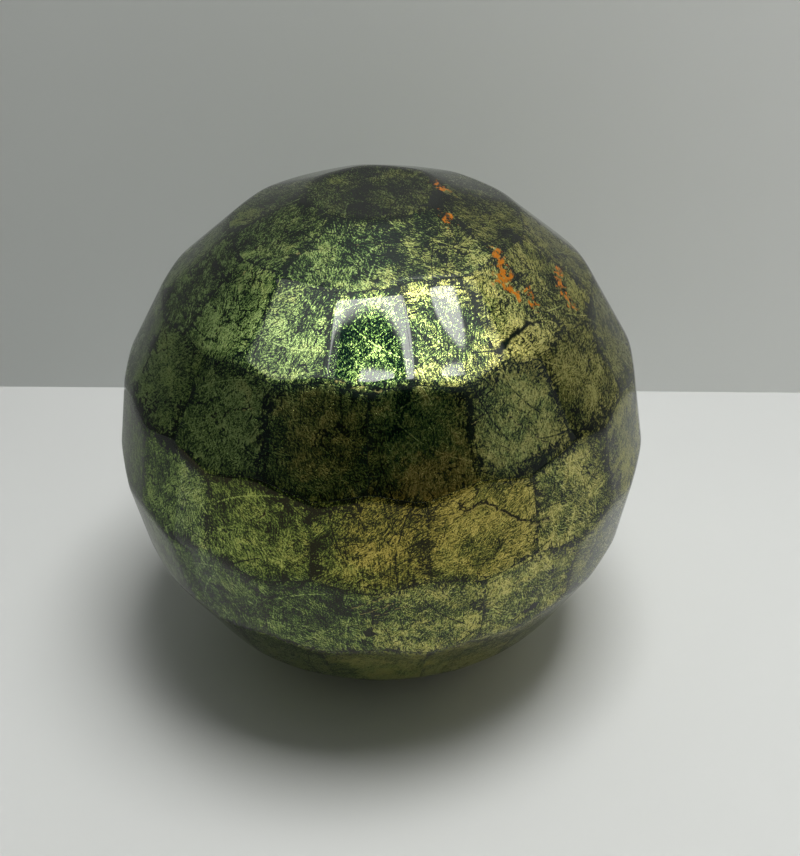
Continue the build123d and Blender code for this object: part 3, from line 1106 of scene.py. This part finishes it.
def flat_sheet(name, corners, material):
    """A staged four-cornered sheet that isn't part of the ball."""
    mesh = bpy.data.meshes.new(name)
    mesh.from_pydata(corners, [], [range(len(corners))])
    sheet = bpy.data.objects.new(name, mesh)
    bpy.context.scene.collection.objects.link(sheet)
    mesh.materials.append(material)
    return sheet


def matt(name, colour, lit_right_colour=None):
    """A matt, faintly uneven surface. lit_right_colour is what it turns to towards the right, painted
    light.
    """
    material, tree, shader = new_material(name)
    where = object_place(tree)
    across = axes_of(tree, where)["X"]
    tone = blend(tree, rise(tree, across, -0.2, 0.25), colour, lit_right_colour or colour)
    uneven = rise(tree, noise(tree, where, 6.0, detail=3.0), 0.2, 0.8, 0.0, 0.08)
    tone = blend(tree, uneven, tone, (0.3, 0.3, 0.3, 1))
    seen = add(tree, "LightPath").outputs["Is Camera Ray"]
    dimmed = blend(tree, 1.0, tone, (DIMMED, DIMMED, DIMMED, 1), "MULTIPLY")
    fill(tree, shader, Base_Color=blend(tree, seen, dimmed, tone), Roughness=0.7)
    return material


table_material = matt("table", (0.60, 0.61, 0.595, 1))
flat_sheet("table", level(-STAGE_REACH, -STAGE_REACH, STAGE_REACH, STAGE_REACH, 0), table_material)
# The wall's lighter right is painted light, since the lamp and the brighter part of the room are on the
# right.
wall_material = matt("wall", (0.64, 0.67, 0.655, 1), (0.95, 0.97, 0.95, 1))
tree = wall_material.node_tree
front_shader = tree.nodes["Principled BSDF"].outputs[0]
see_through = add(tree, "BsdfTransparent").outputs[0]
back = add(tree, "NewGeometry").outputs["Backfacing"]
shown = add(tree, "MixShader", v_0=back, v_1=front_shader, v_2=see_through).outputs[0]
fill(tree, tree.nodes["Material Output"], Surface=shown)
left_foot = (-STAGE_REACH, WALL_Y - STAGE_REACH * WALL_SLOPE)
right_foot = (STAGE_REACH, WALL_Y + STAGE_REACH * WALL_SLOPE)
flat_sheet("wall", [(*left_foot, 0), (*right_foot, 0), (*right_foot, WALL_HEIGHT),
                    (*left_foot, WALL_HEIGHT)], wall_material)
print("wall", round(WALL_Y / MM, 1), "mm behind the ball's centre")

# %% [markdown]
# ## Cards for the reflections
# Shiny facets show whatever stands round them, so cards are added that only reflections see. A card
# can glow in a part of its sheet only: where it hasn't faded out along one axis, or in the shape of
# a rounded rectangle, out of which a second one can be cut.

# %% Card makers
WHITE = (1.0, 1.0, 0.97, 1)
cards = []


def card(name, corners, colour, strength, part=None):
    """A glowing staged sheet that only reflections see. part makes the share that shows, 0 to 1."""
    material, tree, _ = new_material(name)
    shown = add(tree, "Emission", Color=colour, Strength=strength).outputs[0]
    if part:
        clear = add(tree, "BsdfTransparent").outputs[0]
        shown = add(tree, "MixShader", v_0=part(tree), v_1=clear, v_2=shown).outputs[0]
    fill(tree, tree.nodes["Material Output"], Surface=shown)
    sheet = flat_sheet(name, corners, material)
    sheet.visible_camera = False
    sheet.visible_diffuse = False
    sheet.visible_shadow = False
    sheet.visible_transmission = False
    cards.append(sheet)


def faded(axis, clear, full):
    """The part of a card that fades in along an axis, from clear to full."""
    return lambda tree: fall(tree, axes_of(tree, object_place(tree))[axis], full, clear)


def rectangle_share(tree, middle, half, corner, soft):
    """1 inside a rounded rectangle and 0 outside, by the distance to a smaller one without corners."""
    off = vectors(tree, "ABSOLUTE", vectors(tree, "SUBTRACT", object_place(tree), (*middle, 0)))
    off = vectors(tree, "SUBTRACT", off, (half[0] - corner, half[1] - corner, 9.0))
    off = vectors(tree, "MAXIMUM", off, (0.0, 0.0, 0.0))
    return fall(tree, vectors(tree, "LENGTH", off), corner - soft, corner + soft)


def window(outer, inner=None, soft=0.006):
    """The part in outer less inner. Each is a rectangle: its middle, half size and corner radius."""

    def share(tree):
        """How far a point of the sheet is inside, from 0 to 1."""
        inside = rectangle_share(tree, *outer, soft)
        if inner:
            hole = rectangle_share(tree, *inner, 0.008)
            inside = maths(tree, "MULTIPLY", inside, maths(tree, "SUBTRACT", 1.0, hole))
        return inside

    return share


print("a card for reflections glows in the colour", WHITE[:3])

# %% [markdown]
# ## What the facets reflect
# Overhead there is a large soft panel, with a window in front, another at its side and two bright
# strips. The gap card darkens the part in the front window's frame. The figure is somebody who
# stands in front of the ball. On the table lie a warm painted reflection in front of the ball, a dark
# brown one farther off, and the shade beside the ball.

# %% The cards
PANEL_Z = 0.7
WINDOW_Z = PANEL_Z - 0.01
GAP_Z = WINDOW_Z + 0.004
SHADE_Z = 0.0015
card("ceiling_card", level(-0.7, -0.45, 0.7, 0.3, PANEL_Z), WHITE, 1.62,
     window(((0.0, -0.08), (0.60, 0.28), 0.1), soft=0.035))
card("window_card_front", level(-0.22, -0.34, 0.25, -0.18, WINDOW_Z), WHITE, 14.5,
     window(((0.008, -0.275), (0.206, 0.067), 0.04), ((-0.02, -0.33), (0.175, 0.075), 0.03)))
card("window_card_side", level(0.25, -0.22, 0.45, -0.05, WINDOW_Z), WHITE, 16.0,
     window(((0.342, -0.138), (0.046, 0.048), 0.035), ((0.30, -0.215), (0.03, 0.03), 0.02)))
card("strip_card_left", [(-0.07, -0.312, WINDOW_Z), (0.042, -0.308, WINDOW_Z),
                         (0.058, -0.292, WINDOW_Z), (-0.06, -0.303, WINDOW_Z)], WHITE, 17.0)
card("strip_card_right", [(0.303, -0.245, WINDOW_Z), (0.368, -0.214, WINDOW_Z),
                          (0.362, -0.202, WINDOW_Z), (0.300, -0.235, WINDOW_Z)], WHITE, 17.0)
card("gap_card", level(-0.16, -0.34, 0.18, -0.24, GAP_Z), WHITE, 0.02,
     window(((0.010, -0.305), (0.148, 0.050), 0.03)))
card("figure_card", [(0.09, -0.5, 0.27), (0.13, -0.5, 0.254), (0.20, -0.5, 0.256),
                     (0.26, -0.5, 0.275), (0.30, -0.5, 0.33), (0.31, -0.5, 0.48),
                     (0.07, -0.5, 0.48)], (0.002, 0.005, 0.003, 1), 1.0)
# Painted reflections: a warm sheet in front and a dark brown one farther off, which only reflections
# see.
card("warm_reflection_card", [(-1.2, -1.6, 0.001), (0.5, -1.6, 0.001), (0.22, -0.04, 0.001),
                  (-1.2, -0.03, 0.001)], (0.45, 0.39, 0.235, 1), 1.0, faded("Y", -0.01, -0.17))
card("far_brown_reflection_card", level(-3, -3, 3, -0.25, 0.002), (0.05, 0.035, 0.015, 1), 1.0,
     faded("Y", -0.27, -0.42))
card("shade_card", [(-1.2, -0.03, SHADE_Z), (-0.02, -0.03, SHADE_Z), (-0.02, 0.086, SHADE_Z),
                    (-1.2, 0.108, SHADE_Z)], (0.25, 0.26, 0.245, 1), 1.0, faded("X", -0.03, -0.10))
print("cards:", len(cards))

# %% [markdown]
# ## The lamp
# One large soft lamp overhead, a little to the right, lights the ball and throws its shadow.

# %% Lamp
lamp_data = bpy.data.lights.new("softbox", "AREA")
lamp_data.energy = 3.80
lamp_data.size = 0.27
lamp = bpy.data.objects.new("softbox", lamp_data)
lamp.location = (0.09, -0.03, 0.62)
lamp.rotation_euler = (Vector((0, 0, 0.05)) - lamp.location).to_track_quat("-Z", "Y").to_euler()
lamp.visible_glossy = False
bpy.context.scene.collection.objects.link(lamp)
print("lamp", round(lamp.location.z / MM), "mm above the table")

# %% [markdown]
# ## The room
# The room is dim on the left and brighter on the right. In front, low down, it is a warm brown.

# %% Room
LEFT_ROOM = (0.078, 0.083, 0.083, 1)
RIGHT_ROOM = (0.29, 0.30, 0.29, 1)
BROWN_ROOM = (0.030, 0.018, 0.005, 1)
SEEN_ROOM = (0.36, 0.37, 0.36, 1)  # what the camera sees behind the table
world = bpy.data.worlds.new("room")
world.use_nodes = True
tree = world.node_tree
direction = add(tree, "TexCoord").outputs["Generated"]
way = axes_of(tree, direction)
sides = rise(tree, way["X"], -0.9, 0.9)
room = blend(tree, sides, LEFT_ROOM, RIGHT_ROOM)
turned = maths(tree, "MULTIPLY_ADD", way["X"], -0.12, way["Y"])
ahead = fall(tree, turned, -0.86, -0.50)
low_part = fall(tree, way["Z"], 0.5, 0.72)
room = blend(tree, maths(tree, "MULTIPLY", ahead, low_part), room, BROWN_ROOM)
seen = add(tree, "LightPath").outputs["Is Camera Ray"]
room = blend(tree, seen, room, SEEN_ROOM)
fill(tree, tree.nodes["Background"], Color=room)
bpy.context.scene.world = world
bpy.context.scene.view_settings.view_transform = "Standard"
print("room:", bpy.context.scene.world.name, "with", len(tree.nodes), "nodes")
